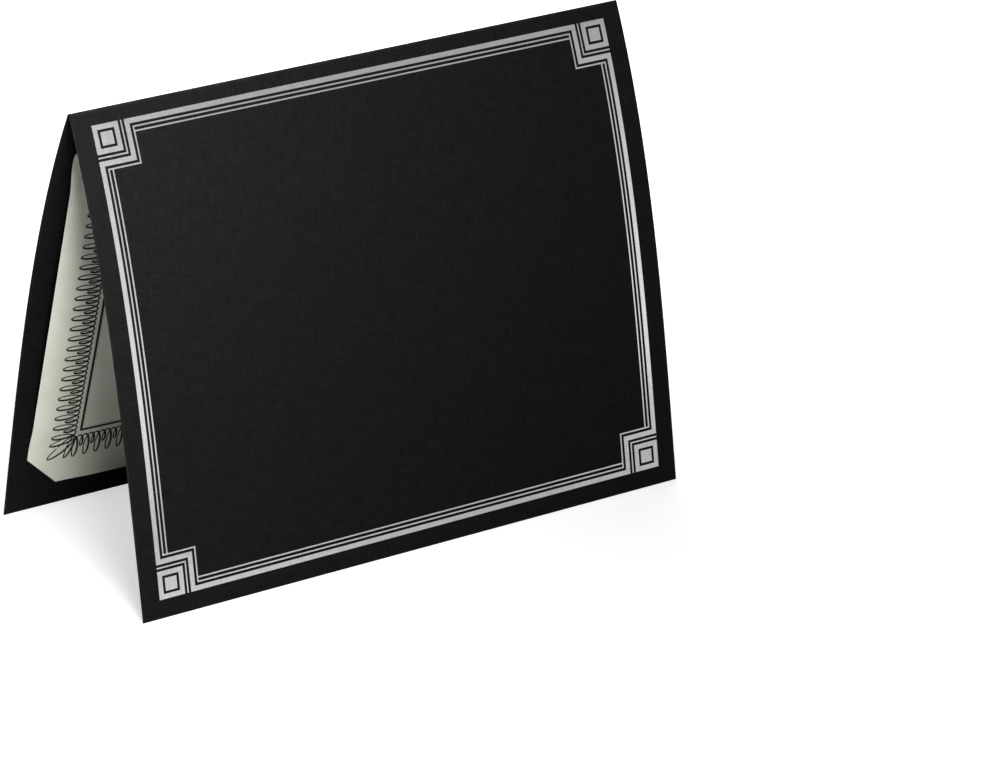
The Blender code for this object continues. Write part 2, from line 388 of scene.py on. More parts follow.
LAY_TREE, given, result = new_shape_tree("lay_on_leaf", {"Leaf profile": OBJECT, "Finish": MATERIAL})
tree = LAY_TREE
flat = add(tree, "GeometryNodeInputPosition").outputs[0]
kept = {"Geometry": given["Geometry"], "Name": "flat_place", "Value": flat}
kept = fed(tree, "GeometryNodeStoreNamedAttribute", kept, data_type="FLOAT_VECTOR", domain="POINT")[0]
parts = split(tree, flat)
profile = fed(tree, "GeometryNodeObjectInfo", {"Object": given["Leaf profile"]})["Geometry"]
half_way = sums(tree, "DIVIDE", fed(tree, "GeometryNodeCurveLength", {0: profile})[0], 2.0)
from_foot = sums(tree, "SUBTRACT", half_way, parts["Y"])
sample = fed(tree, "GeometryNodeSampleCurve", {"Curves": profile, "Length": from_foot}, mode="LENGTH")
outwards = arrows(tree, "CROSS_PRODUCT", sample["Tangent"], ALONG_FOLD)
lifted = scaled(tree, arrows(tree, "NORMALIZE", outwards), parts["Z"])
place = arrows(tree, "ADD", arrows(tree, "ADD", sample["Position"], lifted), joined(tree, parts["X"]))
moved = fed(tree, "GeometryNodeSetPosition", {"Geometry": kept, "Position": place})[0]
finish_shape(tree, moved, given["Finish"], result)
print(tree.name, "has", len(tree.nodes), "nodes")

# %% [markdown]
# A modifier keeps its settings under each input's identifier, so this helper looks that up by name. It then
# keeps the evaluated shape as a plain mesh and throws the draft away, because the frame wants finished
# meshes.

# %% Helpers that run a tree
SHARP_ANGLE = math.radians(30.0)


def run_tree(name, data, tree, settings):
    """Run a Geometry Nodes tree on a flat blank or curve, and keep the finished mesh as a new object."""
    draft = new_object(name + "_draft", data)
    modifier = draft.modifiers.new(tree.name, "NODES")
    modifier.node_group = tree
    for item in tree.interface.items_tree:
        if item.item_type == "SOCKET" and item.in_out == "INPUT" and item.name in settings:
            modifier[item.identifier] = settings[item.name]
    depsgraph = bpy.context.evaluated_depsgraph_get()
    made = draft.evaluated_get(depsgraph)
    mesh = bpy.data.meshes.new_from_object(made, preserve_all_data_layers=True, depsgraph=depsgraph)
    draft.modifiers.remove(modifier)
    bpy.data.objects.remove(draft, do_unlink=True)
    mesh.name = name
    mesh.shade_smooth()
    mesh.set_sharp_from_angle(angle=SHARP_ANGLE)
    print(f"{name}: {len(mesh.polygons)} faces")
    return new_object(name, mesh)


def lay_blank(name, blank, material):
    """Lay a finished flat blank on the leaves."""
    data = bpy.data.meshes.new(name + "_flat")
    blank.to_mesh(data)
    blank.free()
    return run_tree(name, data, LAY_TREE, {"Leaf profile": leaf_profile, "Finish": material})

# %% [markdown]
# The linen look is an embossed pattern of threads, crossing about every half millimetre. No two threads are
# alike: each wanders a little, and swells and fades along its length, which makers call slubs. Both the card
# and the foil show it, so it is one shared group that gives back a height and the slubs. The noise that moves
# and thickens the threads is drawn out along them, in the flat place.

# %% Make the linen weave
THREAD_PITCH = 0.56 * MM
WARP_SHARE = 0.90
WANDER_STRETCH = (0.35, 0.05)
WANDER_REACH = 2.4
SLUB_STRETCH = (0.9, 0.06)
SLUB_BAND = (0.32, 0.68)
SLUB_LAYER = 7.0
WEFT_LAYER = 31.0
THINNEST = 0.25

WEAVE, given, result = new_tree(
    "linen_weave", "ShaderNodeTree", {"Flat place": VECTOR}, {"Height": NUMBER, "Slub": NUMBER}
)
tree = WEAVE
parts = split(tree, given["Flat place"])


def threads(tree, across, along, layer):
    """One set of threads: their height, and how thick each one is here."""

    def drawn_out(stretch, layer):
        """The flat place, drawn out along the threads."""
        x = times(tree, across, stretch[0] / THREAD_PITCH)
        y = times(tree, along, stretch[1] / THREAD_PITCH)
        return joined(tree, x, y, layer)

    wander = sums(tree, "SUBTRACT", noise(tree, drawn_out(WANDER_STRETCH, layer), 1.0, 1.0), 0.5)
    wander = times(tree, wander, WANDER_REACH)
    turns = sums(tree, "ADD", sums(tree, "DIVIDE", across, THREAD_PITCH), wander)
    wave = sums(tree, "SINE", times(tree, turns, 2 * math.pi))
    wave = sums(tree, "MULTIPLY_ADD", wave, 0.5, 0.5)
    slub = ramp(tree, noise(tree, drawn_out(SLUB_STRETCH, layer + SLUB_LAYER), 1.0, 2.0), *SLUB_BAND)
    return times(tree, wave, between(tree, slub, THINNEST, 1.0)), slub


warp, warp_slub = threads(tree, parts["X"], parts["Y"], 0.0)
weft, weft_slub = threads(tree, parts["Y"], parts["X"], WEFT_LAYER)
tree.links.new(sums(tree, "MAXIMUM", times(tree, warp, WARP_SHARE), weft), result["Height"])
slub_sum = sums(tree, "MULTIPLY_ADD", warp_slub, WARP_SHARE, weft_slub)
tree.links.new(sums(tree, "DIVIDE", slub_sum, 1.0 + WARP_SHARE), result["Slub"])
print("threads per centimetre:", round(10 * MM / THREAD_PITCH, 1))

# %% [markdown]
# Black cover card is dyed through. It is matt. It is a little greyer where the slubs swell, which is the
# card's own tone, and on the tops of the embossed threads, which is a painted highlight. It is rubbed paler
# along the fold and the outer edges. Its gloss is kept low, because the real card stays deep black under a
# white sky.

# %% Finish: black linen card
def new_material(name):
    """A material with its node tree, its one shader and the flat place kept on each piece."""
    material = bpy.data.materials.new(name)
    material.use_nodes = True
    tree = material.node_tree
    kept = add(tree, "ShaderNodeAttribute", attribute_type="GEOMETRY", attribute_name="flat_place")
    return material, tree, tree.nodes["Principled BSDF"], kept.outputs["Vector"]


def linen(tree, place):
    """The shared weave on one piece."""
    group = fed(tree, "ShaderNodeGroup", {0: place}, node_tree=WEAVE)
    return group["Height"], group["Slub"]


def dress(tree, shader, colour, roughness, gloss=0.5):
    """Give the shader its colour, its roughness and its gloss."""
    tree.links.new(colour, shader.inputs["Base Color"])
    tree.links.new(roughness, shader.inputs["Roughness"])
    shader.inputs["Specular IOR Level"].default_value = gloss


def bump(tree, shader, height, distance):
    """Roughen a surface by a height."""
    made = fed(tree, "ShaderNodeBump", {"Distance": distance, "Height": height})
    tree.links.new(made[0], shader.inputs["Normal"])


DEEP_BLACK = (0.0037, 0.0037, 0.0039, 1.0)
# The paler black is the slubs' own tone and also a painted highlight on the thread tops.
SLUB_AND_HIGHLIGHT_BLACK = (0.0117, 0.0116, 0.0119, 1.0)
RUBBED_BLACK = (0.030, 0.030, 0.031, 1.0)
CARD_ROUGHNESS = (0.46, 0.62)
CARD_GLOSS = 0.03
CARD_EMBOSS = 0.08 * MM
SLUB_TONE = 0.55
RUB_TONE = 0.6
RUB_ON_FOLD = (0.3 * MM, 1.6 * MM)
RUB_ON_EDGE = (0.1 * MM, 0.9 * MM)
RUB_SPOTS = 160.0
RUB_BAND = (0.35, 0.7)
CARD_SPOTS = 22.0

LINEN_CARD, tree, shader, place = new_material("black_linen_card")
parts = split(tree, place)
weave, slub = linen(tree, place)
from_fold = sums(tree, "ABSOLUTE", parts["Y"])
rub_fold = ramp(tree, from_fold, *RUB_ON_FOLD, 1.0, 0.0, smooth=True)
from_side = sums(tree, "SUBTRACT", COVER_WIDTH / 2, sums(tree, "ABSOLUTE", parts["X"]))
from_foot = sums(tree, "SUBTRACT", LEAF_LENGTH, from_fold)
rub_edge = ramp(tree, sums(tree, "MINIMUM", from_side, from_foot), *RUB_ON_EDGE, 1.0, 0.0)
rub = sums(tree, "MAXIMUM", rub_fold, rub_edge)
rub = times(tree, rub, ramp(tree, noise(tree, place, RUB_SPOTS, 3.0), *RUB_BAND))
# Painted highlight: the weave's height lightens the thread tops, mixed with the slubs' own tone.
thread_tone_and_highlight = sums(tree, "MULTIPLY_ADD", slub, SLUB_TONE, times(tree, weave, 1.0 - SLUB_TONE))
card_colour = blend_colours(tree, thread_tone_and_highlight, DEEP_BLACK, SLUB_AND_HIGHLIGHT_BLACK)
card_colour = blend_colours(tree, times(tree, rub, RUB_TONE), card_colour, RUBBED_BLACK)
card_roughness = between(tree, noise(tree, place, CARD_SPOTS, 4.0), *CARD_ROUGHNESS)
dress(tree, shader, card_colour, card_roughness, CARD_GLOSS)
bump(tree, shader, weave, CARD_EMBOSS)
print(LINEN_CARD.name, "ready")

# %% [markdown]
# Hot-stamped foil is a film of metal a few thousandths of a millimetre thick, pressed into the linen. It
# keeps the weave only faintly, and the slubs dull it in places, so its gloss is satin and grainy.

# %% Finish: stamped silver foil
FOIL_PALE = (0.88, 0.88, 0.875, 1.0)
FOIL_DULL = (0.69, 0.69, 0.69, 1.0)
FOIL_ROUGHNESS = (0.20, 0.27)
FOIL_EMBOSS = 0.012 * MM
FOIL_SPOTS = 300.0

SILVER_FOIL, tree, shader, place = new_material("stamped_silver_foil")
weave, slub = linen(tree, place)
foil_colour = blend_colours(tree, slub, FOIL_DULL, FOIL_PALE)
dress(tree, shader, foil_colour, between(tree, noise(tree, place, FOIL_SPOTS, 3.0), *FOIL_ROUGHNESS))
shader.inputs["Metallic"].default_value = 1.0
bump(tree, shader, weave, FOIL_EMBOSS)
print(SILVER_FOIL.name, "ready")

# %% [markdown]
# The certificate is cream parchment bond: faint clouds of a warmer and a cooler cream, a few short fibres,
# and almost no gloss. Its border is engraved in warm black ink, and the writing lines are a pale beige.

# %% Finishes: parchment and inks
PAPER_WARM = (0.77, 0.765, 0.652, 1.0)
PAPER_COOL = (0.82, 0.82, 0.73, 1.0)
PAPER_ROUGHNESS = (0.72, 0.85)
PAPER_GLOSS = 0.2
PAPER_EMBOSS = 0.01 * MM
PAPER_GRAIN = 2200.0
CLOUD_SPOTS = 55.0
CLOUD_BAND = (0.35, 0.65)
FIBRE_STRETCH = (260.0, 90.0, 1.0)
FIBRE_RAMP = (0.0, 0.02, 0.25, 0.0)
INK_ROUGHNESS = (0.5, 0.7)
INK_SPOTS = 900.0

PARCHMENT, tree, shader, place = new_material("parchment_paper")
clouds = ramp(tree, noise(tree, place, CLOUD_SPOTS, 5.0, 0.6), *CLOUD_BAND)
paper_colour = blend_colours(tree, clouds, PAPER_WARM, PAPER_COOL)
fibres = {"Vector": arrows(tree, "MULTIPLY", place, FIBRE_STRETCH), "Scale": 1.0}
fibres = fed(tree, "ShaderNodeTexVoronoi", fibres, feature="DISTANCE_TO_EDGE")["Distance"]
fibre = ramp(tree, fibres, *FIBRE_RAMP)
paper_colour = blend_colours(tree, fibre, paper_colour, PAPER_WARM)
dress(tree, shader, paper_colour, between(tree, clouds, *PAPER_ROUGHNESS), PAPER_GLOSS)
bump(tree, shader, noise(tree, place, PAPER_GRAIN), PAPER_EMBOSS)


def ink_material(name, dark, pale):
    """An ink that covers a little unevenly."""
    material, tree, shader, place = new_material(name)
    cover = noise(tree, place, INK_SPOTS)
    ink_colour = blend_colours(tree, cover, dark, pale)
    dress(tree, shader, ink_colour, between(tree, cover, *INK_ROUGHNESS), PAPER_GLOSS)
    return material


ENGRAVING_INK = ink_material("engraving_ink", (0.016, 0.015, 0.012, 1.0), (0.034, 0.031, 0.026, 1.0))
BEIGE_INK = ink_material("beige_line_ink", (0.52, 0.49, 0.40, 1.0), (0.62, 0.59, 0.50, 1.0))
print("paper and inks ready")

# %% [markdown]
# A flat blank starts as a drawn outline with any holes. It is filled, cut across at every row where the
# leaf may bend, and given its thickness. On the fold the rows are only a fraction of a millimetre apart.

# %% Helpers for flat blanks
ROWS_A_LEAF = 60
CUT_REACH = 1e-7
FLAT_ANGLE = math.radians(0.5)


def rectangle(left, right, low, high):
    """A rectangle's corners in the flat."""
    return [(left, low), (right, low), (right, high), (left, high)]


def rows(low, high):
    """The places where a blank is cut so that it can bend, finer over the fold."""
    fold_half = FOLD_BEND * FOLD_TURN
    places = [side * index * ROW for side in (-1, 1) for index in range(1, ROWS_A_LEAF + 1)]
    places += [fold_half * index / FOLD_STEPS for index in range(-FOLD_STEPS, FOLD_STEPS + 1)]
    return sorted(place for place in places if low < place < high)


def cut_across(blank, point, direction):
    """Cut a blank along a line and mark the new edges so that they are kept."""
    everything = blank.verts[:] + blank.edges[:] + blank.faces[:]
    line = {"plane_co": (*point, 0.0), "plane_no": (*direction, 0.0)}
    cut = bmesh.ops.bisect_plane(blank, geom=everything, dist=CUT_REACH, **line)
    for made in cut["geom_cut"]:
        if isinstance(made, bmesh.types.BMEdge):
            made.seam = True


def filled_blank(outlines):
    """Fill the area between closed outlines, and cut it at every row."""
    blank = bmesh.new()
    edges = []
    for outline in outlines:
        corners = [blank.verts.new((x, v, 0.0)) for x, v in outline]
        for here, there in zip(corners, corners[1:] + corners[:1]):
            edges.append(blank.edges.new((here, there)))
    bmesh.ops.triangle_fill(blank, use_beauty=True, edges=edges)
    heights = [v for outline in outlines for x, v in outline]
    for v in rows(min(heights), max(heights)):
        cut_across(blank, (0.0, v), (0.0, 1.0))
    kept = {"use_dissolve_boundaries": False, "delimit": {"SEAM"}}
    bmesh.ops.dissolve_limit(blank, angle_limit=FLAT_ANGLE, verts=blank.verts, edges=blank.edges, **kept)
    bmesh.ops.triangulate(blank, faces=blank.faces)
    return blank


def thicken(blank, low, high):
    """Give a flat blank its two faces and its walls."""
    grown = bmesh.ops.extrude_face_region(blank, geom=blank.faces[:])
    upper = {made for made in grown["geom"] if isinstance(made, bmesh.types.BMVert)}
    for vertex in blank.verts:
        vertex.co.z += high if vertex in upper else low
    bmesh.ops.recalc_face_normals(blank, faces=blank.faces)
    return blank


print("rows on the whole card:", len(rows(-LEAF_LENGTH, LEAF_LENGTH)))

# %% [markdown]
# The cover is one card, so it is one piece that runs over the fold without a seam, and it stands for the
# two leaves and the bead between them. The slits are real cuts through the card. A slit gapes only where the
# certificate passes, so just that stretch is cut here.

# %% Make the card cover
SHEET_WIDTH = 279.4 * MM
SHEET_HEIGHT = 215.9 * MM
SHEET_MIDDLE = COVER_HEIGHT / 2 - FOLD_SAVING
SHEET_SLIDE = -2.6 * MM
TUCKED_REACH = 14.5 * MM
SLIT_WIDTH = 0.22 * MM
SLIT_SLACK = 0.1 * MM
FOOT_TRIM = 0.045 * MM
CORNERS = {(-1, -1): "fold_left", (1, -1): "fold_right", (-1, 1): "foot_left", (1, 1): "foot_right"}


def slit_lines():
    """Each slit's middle, and the direction across it towards the sheet's corner."""
    across = SHEET_WIDTH / 2 - TUCKED_REACH / 2
    along = SHEET_HEIGHT / 2 - TUCKED_REACH / 2
    return [
        (Vector((right * across, SHEET_MIDDLE + down * along)), Vector((right, down)).normalized())
        for right, down in CORNERS
    ]


def slit_outline(middle, outwards):
    """The stretch of a slit that the sheet holds open, as a thin slanted rectangle."""
    side = SHEET_SLIDE + math.copysign(SHEET_WIDTH / 2, outwards.x)
    end = SHEET_MIDDLE + math.copysign(SHEET_HEIGHT / 2, outwards.y)
    on_line = middle.dot(outwards)
    at_side = Vector((side, (on_line - side * outwards.x) / outwards.y))
    at_end = Vector(((on_line - end * outwards.y) / outwards.x, end))
    slack = (at_end - at_side).normalized() * SLIT_SLACK
    half = outwards * SLIT_WIDTH / 2
    first, last = at_side - slack, at_end + slack
    return [first - half, last - half, last + half, first + half]


SLITS = slit_lines()
edge = LEAF_LENGTH - FOOT_TRIM
card_outline = rectangle(-COVER_WIDTH / 2, COVER_WIDTH / 2, -edge, edge)
card_blank = filled_blank([card_outline] + [slit_outline(*slit) for slit in SLITS])
thicken(card_blank, -CARD_FACE, CARD_FACE)
card_cover = lay_blank("card_cover", card_blank, LINEN_CARD)

# %% [markdown]
# The foil is fourteen separate stamped areas. They are drawn as outlines from the frame's outer corners:
# a broad band that steps round a square emblem, a thin stepped line with four straight lines, and at each
# corner a ring, a square and an angle. Each is a film just proud of the card, and its lower face lies in
# the card, so that no gap shows. The die's pressure rounds the card over at every edge, so each area shows
# about a tenth of a millimetre narrower all round than the die.

# %% Stamp the foil
FOIL_TOP = CARD_FACE + 0.035 * MM
FOIL_ROOT = CARD_FACE - 0.05 * MM
FOIL_DRAW_IN = 0.12 * MM
FOIL_SIDE_INSET = 9.8 * MM
FOIL_FOLD_INSET = 7.6 * MM
FOIL_FOOT_INSET = 8.9 * MM
BAND_WIDTH = 2.65 * MM
BAND_TO_LINE = 1.1 * MM
LINE_WIDTH = 0.95 * MM
LINE_TO_LINE = 1.2 * MM
RING_SIZE = 13.9 * MM
RING_TO_SQUARE = 1.05 * MM
EMBLEM_GAP = 1.05 * MM
ANGLE_START = RING_SIZE + EMBLEM_GAP
ANGLE_END = ANGLE_START + LINE_WIDTH
NOTCH = ANGLE_END + EMBLEM_GAP


def frame_point(corner, x, down):
    """A flat place at these distances from one outer corner of the foil frame."""
    right, foot = corner
    edge = COVER_HEIGHT - FOIL_FOOT_INSET if foot > 0 else FOIL_FOLD_INSET
    return right * (COVER_WIDTH / 2 - FOIL_SIDE_INSET - x), -(edge - foot * down - FOLD_SAVING)


def stepped_frame(side_inset, notch_inset):
    """A closed line round the frame that steps inwards past each corner's emblem."""
    step = NOTCH + notch_inset
    outline = []
    for corner in ((-1, -1), (1, -1), (1, 1), (-1, 1)):
        turn = [(side_inset, step), (step, step), (step, side_inset)]
        if corner[0] != corner[1]:
            turn.reverse()
        outline.extend(frame_point(corner, x, down) for x, down in turn)
    return outline


def drawn_in(outline, amount):
    """An outline of square corners, moved inwards by an amount, or outwards where it is negative."""
    before, after = outline[-1:] + outline[:-1], outline[1:] + outline[:1]
    area = sum(x * after_v - after_x * v for (x, v), (after_x, after_v) in zip(outline, after))
    inwards = math.copysign(1.0, area) * amount
    moved = []
    for last, here, following in zip(before, outline, after):
        place = Vector(here)
        for along in (place - Vector(last), Vector(following) - place):
            place = place + inwards * Vector((-along.y, along.x)).normalized()
        moved.append(tuple(place))
    return moved


def stamp(name, outlines):
    """One stamped area of foil, from its outer outline and its holes."""
    outer, *holes = outlines
    narrowed = [drawn_in(outer, FOIL_DRAW_IN)] + [drawn_in(hole, -FOIL_DRAW_IN) for hole in holes]
    return lay_blank(name, thicken(filled_blank(narrowed), FOIL_ROOT, FOIL_TOP), SILVER_FOIL)


def corner_box(first, first_place, second, second_place):
    """A rectangle between two places, each measured from its own corner of the frame."""
    left, low = frame_point(first, *first_place)
    right, high = frame_point(second, *second_place)
    return rectangle(min(left, right), max(left, right), min(low, high), max(low, high))


def square(start, end):
    """A square's corners, from its distances to both sides of the frame's corner."""
    return rectangle(start, end, start, end)


line_start = BAND_WIDTH + BAND_TO_LINE
line_end = line_start + LINE_WIDTH
inner_start = line_end + LINE_TO_LINE
inner_end = inner_start + LINE_WIDTH
reach = NOTCH + line_end
gaps = [corner_box((-1, side), (reach, line_end), (1, side), (reach, inner_start)) for side in (-1, 1)]
gaps += [corner_box((side, -1), (line_end, reach), (side, 1), (inner_start, reach)) for side in (-1, 1)]
foil = {}
foil["foil_band"] = stamp("stamped_band", [stepped_frame(0.0, 0.0), stepped_frame(BAND_WIDTH, BAND_WIDTH)])
line_outlines = [stepped_frame(line_start, line_start), stepped_frame(inner_end, line_end), *gaps]
foil["foil_inner_lines"] = stamp("stamped_inner_lines", line_outlines)
square_start = BAND_WIDTH + RING_TO_SQUARE
emblem = {
    "ring": [square(0.0, RING_SIZE), square(BAND_WIDTH, RING_SIZE - BAND_WIDTH)],
    "square": [square(square_start, RING_SIZE - square_start)],
    "angle": [[
        (ANGLE_START, 0.0), (ANGLE_END, 0.0), (ANGLE_END, ANGLE_END),
        (0.0, ANGLE_END), (0.0, ANGLE_START), (ANGLE_START, ANGLE_START),
    ]],
}
for corner, place in CORNERS.items():
    for form, outlines in emblem.items():
        drawn = [[frame_point(corner, x, down) for x, down in outline] for outline in outlines]
        foil[f"foil_{form}_{place}"] = stamp(f"stamped_{form}_{place}", drawn)
print("foil areas:", len(foil))

# %% [markdown]
# The certificate is stiffer than the bow of the leaf. Its corners are held in the slits, and between them it
# runs straighter than the leaf and arches a little towards the reader. So it is a grid whose points stand
# off the leaf by a rule: nothing at the slits, most in the middle. At each corner the paper dives through
# its slit and comes out flat behind the leaf.

# %% Make the certificate sheet
SHEET_THICKNESS = 0.12 * MM
SHEET_CONTACT = 0.05 * MM
SHEET_ARCH = 5.8 * MM
SHEET_END_ARCH = 2.0 * MM
SHEET_CELLS = (112, 86)
CORNER_LIFT = 0.25 * MM
LIFT_START = 2.0 * MM
DIVE_CUTS = (-1.6, -0.5, -0.25, 0.25, 0.5, 1.6)


def card_place(v):
    """The card's middle surface on a leaf at a distance v from the fold, as (out, height)."""
    steps = (v + FOLD_SAVING) / KEPT_GAP
    above = int(steps)
    return down_leaf[above].lerp(down_leaf[above + 1], steps - above)


top_hold = card_place(SHEET_MIDDLE - SHEET_HEIGHT / 2 + TUCKED_REACH / 2)
foot_hold = card_place(SHEET_MIDDLE + SHEET_HEIGHT / 2 - TUCKED_REACH / 2)
held_line = (foot_hold - top_hold).normalized()
held_outwards = Vector((-held_line.y, held_line.x))


def stand_off(x, v):
    """How far the sheet stands off the leaf, and how far past its slit it is in slit widths."""
    across = min(abs(x - SHEET_SLIDE) / (SHEET_WIDTH / 2), 1.0)
    down = (v - SHEET_MIDDLE) / SHEET_HEIGHT + 0.5
    arch = SHEET_END_ARCH + (SHEET_ARCH - SHEET_END_ARCH) * math.sin(math.pi * down) ** 2
    bridge = max((card_place(v) - top_hold).dot(held_outwards), 0.0)
    past = max((Vector((x, v)) - middle).dot(outwards) for middle, outwards in SLITS)
    free = min(max((-past - SLIT_WIDTH) / TUCKED_REACH, 0.0), 1.0)
    return free * free * (3.0 - 2.0 * free) * (bridge + arch * (1.0 - across**3)), past / SLIT_WIDTH


sheet_blank = bmesh.new()
bmesh.ops.create_grid(sheet_blank, x_segments=SHEET_CELLS[0], y_segments=SHEET_CELLS[1], size=0.5)
for vertex in sheet_blank.verts:
    vertex.co.x = SHEET_SLIDE + vertex.co.x * SHEET_WIDTH
    vertex.co.y = SHEET_MIDDLE + vertex.co.y * SHEET_HEIGHT
for middle, outwards in SLITS:
    for cut in DIVE_CUTS:
        cut_across(sheet_blank, middle + outwards * cut * SLIT_WIDTH, outwards)
bmesh.ops.triangulate(sheet_blank, faces=sheet_blank.faces)
off_card = CARD_FACE + SHEET_CONTACT + SHEET_THICKNESS / 2
for vertex in sheet_blank.verts:
    off_leaf, past = stand_off(vertex.co.x, vertex.co.y)
    through = min(max(past + 0.5, 0.0), 1.0)
    tip = min(max((past * SLIT_WIDTH - LIFT_START) / TUCKED_REACH, 0.0), 1.0)
    vertex.co.z = off_card * (2.0 * through - 1.0) - off_leaf + CORNER_LIFT * tip
thicken(sheet_blank, -SHEET_THICKNESS / 2, SHEET_THICKNESS / 2)
flat_data = bpy.data.meshes.new("flat_sheet")
sheet_blank.to_mesh(flat_data)
flat_sheet = new_object("flat_sheet_draft", flat_data)
sheet = lay_blank("certificate_sheet", sheet_blank, PARCHMENT)
print("stand-off in the middle:", round(stand_off(SHEET_SLIDE, SHEET_MIDDLE)[0] / MM, 2), "mm")

# %% [markdown]
# Every printed line is a thin raised ridge of ink, as engraving leaves. One tree turns flat curves into such
# ridges: it gives them a four-sided section, drops them on the sheet by casting a ray from the reader's
# side, and lays them on the leaf with the tree from before. A broader stroke stands a little higher, so that
# two strokes that cross never share one face.

# %% Make the tree for ink lines
INK_RISE = 0.07
INK_ROOT = 0.01 * MM
RAY_START = -0.1
RAY_LENGTH = 1.0


def ridge_on_sheet(tree, curve, width, given, result):
    """Turn a flat curve into an ink ridge, drop it on the sheet and lay it on the leaf."""
    stroke = {"Geometry": curve, "Name": "pen_width", "Value": width}
    stroke = fed(tree, "GeometryNodeStoreNamedAttribute", stroke)[0]
    pen_width = in_use(fed(tree, "GeometryNodeInputNamedAttribute", {"Name": "pen_width"}))["Attribute"]
    upright = fed(tree, "GeometryNodeSetCurveNormal", {"Curve": stroke}, mode="Z_UP")[0]
    section = fed(tree, "GeometryNodeCurvePrimitiveQuadrilateral", {"Width": 1.0, "Height": 1.0})[0]
    ridge = {"Curve": upright, "Profile Curve": section, "Scale": pen_width, "Fill Caps": True}
    ridge = fed(tree, "GeometryNodeCurveToMesh", ridge)[0]
    flat = split(tree, add(tree, "GeometryNodeInputPosition").outputs[0])
    sheet = fed(tree, "GeometryNodeObjectInfo", {"Object": given["Sheet"]})["Geometry"]
    ray = {"Target Geometry": sheet, "Source Position": joined(tree, flat["X"], flat["Y"], RAY_START)}
    ray |= {"Ray Direction": (0.0, 0.0, 1.0), "Ray Length": RAY_LENGTH}
    face = split(tree, fed(tree, "GeometryNodeRaycast", ray)["Hit Position"])["Z"]
    is_top = sums(tree, "LESS_THAN", flat["Z"], 0.0)
    rise = times(tree, times(tree, pen_width, given["Ink rise"]), -1.0)
    height = sums(tree, "ADD", face, between(tree, is_top, INK_ROOT, rise))
    dropped = {"Geometry": ridge, "Position": joined(tree, flat["X"], flat["Y"], height)}
    laid = {"Geometry": fed(tree, "GeometryNodeSetPosition", dropped)[0]}
    laid |= {name: given[name] for name in ("Leaf profile", "Finish")}
    laid = fed(tree, "GeometryNodeGroup", laid, node_tree=LAY_TREE)[0]
    finish_shape(tree, laid, given["Finish"], result)


SHARED_INPUTS = {"Sheet": OBJECT, "Leaf profile": OBJECT, "Finish": MATERIAL, "Ink rise": NUMBER}
LINE_TREE, given, result = new_shape_tree(
    "ink_line", {"Thin stroke": NUMBER, "Thick stroke": NUMBER, "Step": NUMBER, **SHARED_INPUTS}
)
tree = LINE_TREE
steps = {"Curve": given["Geometry"], "Length": given["Step"]}
steps = fed(tree, "GeometryNodeResampleCurve", steps, mode="LENGTH")[0]
along = add(tree, "GeometryNodeSplineParameter").outputs["Factor"]
swell = sums(tree, "SINE", times(tree, along, math.pi))
line_width = between(tree, swell, given["Thin stroke"], given["Thick stroke"])
ridge_on_sheet(tree, steps, line_width, given, result)
print(tree.name, "has", len(tree.nodes), "nodes")

# %% [markdown]
# The border is one endless looping pen line, as old certificate printers drew it: a long loop, then a short
# one, all round the sheet. A point that runs along a path and swings across it draws such loops. The path
# is a rectangle with rounded corners. A whole number of loop pairs fits between two corners, so that every
# corner gets a long loop on its diagonal, and the loops beside that one are long too and fan out.

# %% Make the tree for the loop border
CORNER_CUTS = 24
BEND_STARTS = 0.15
FAN_FALL = 3.0
FAN_SWING_FALL = 2.0
PATH_SIZES = ["Path width", "Path height", "Corner", "Start"]
LOOP_SIZES = ["Long loop", "Short loop", "Long swing", "Short swing", "Slant", "Fan", "Fan swing"]
BORDER_INPUTS = dict.fromkeys(PATH_SIZES + LOOP_SIZES + ["Thin stroke", "Thick stroke"], NUMBER)
BORDER_INPUTS |= {"Loops": WHOLE, "Steps per loop": WHOLE, "Centre": VECTOR}
BORDER_TREE, given, result = new_shape_tree("loop_border", {**BORDER_INPUTS, **SHARED_INPUTS})
tree = BORDER_TREE
box = {"Width": given["Path width"], "Height": given["Path height"]}
box = fed(tree, "GeometryNodeCurvePrimitiveQuadrilateral", box)[0]
rounded = {"Curve": box, "Count": CORNER_CUTS, "Radius": given["Corner"]}
rounded = fed(tree, "GeometryNodeFilletCurve", rounded, mode="POLY")[0]
all_steps = times(tree, given["Loops"], given["Steps per loop"])
path = fed(tree, "GeometryNodeResampleCurve", {"Curve": rounded, "Count": all_steps}, mode="COUNT")[0]

index = add(tree, "GeometryNodeInputIndex").outputs[0]
turn = sums(tree, "ADD", sums(tree, "DIVIDE", index, given["Steps per loop"]), given["Start"])
phase = times(tree, turn, 2 * math.pi)
number = sums(tree, "FLOOR", turn)
is_short = sums(tree, "MODULO", number, 2.0)
heading = add(tree, "GeometryNodeInputTangent").outputs[0]
heading_parts = split(tree, heading)
slanting = times(tree, heading_parts["X"], heading_parts["Y"])
slanting = times(tree, sums(tree, "ABSOLUTE", slanting), 2.0)
loop_middle = sums(tree, "SUBTRACT", sums(tree, "ADD", number, 0.5), given["Start"])
loop_middle = times(tree, loop_middle, given["Steps per loop"])
loop_middle = sums(tree, "FLOORED_MODULO", loop_middle, all_steps)
in_corner = fed(tree, "GeometryNodeFieldAtIndex", {"Index": loop_middle, "Value": slanting})[0]
on_bend = sums(tree, "GREATER_THAN", in_corner, BEND_STARTS)
keeps_short = times(tree, is_short, sums(tree, "SUBTRACT", 1.0, on_bend))
fan = sums(tree, "MULTIPLY_ADD", given["Fan"], sums(tree, "POWER", in_corner, FAN_FALL), 1.0)
loop_length = between(tree, keeps_short, given["Long loop"], given["Short loop"])
loop_length = times(tree, loop_length, fan)
wider = sums(tree, "POWER", in_corner, FAN_SWING_FALL)
wider = sums(tree, "MULTIPLY_ADD", given["Fan swing"], wider, 1.0)
swing = between(tree, keeps_short, given["Long swing"], given["Short swing"])
swing = times(tree, swing, wider)
rise = times(tree, sums(tree, "SUBTRACT", 1.0, sums(tree, "COSINE", phase)), 0.5)
rise = times(tree, rise, loop_length)
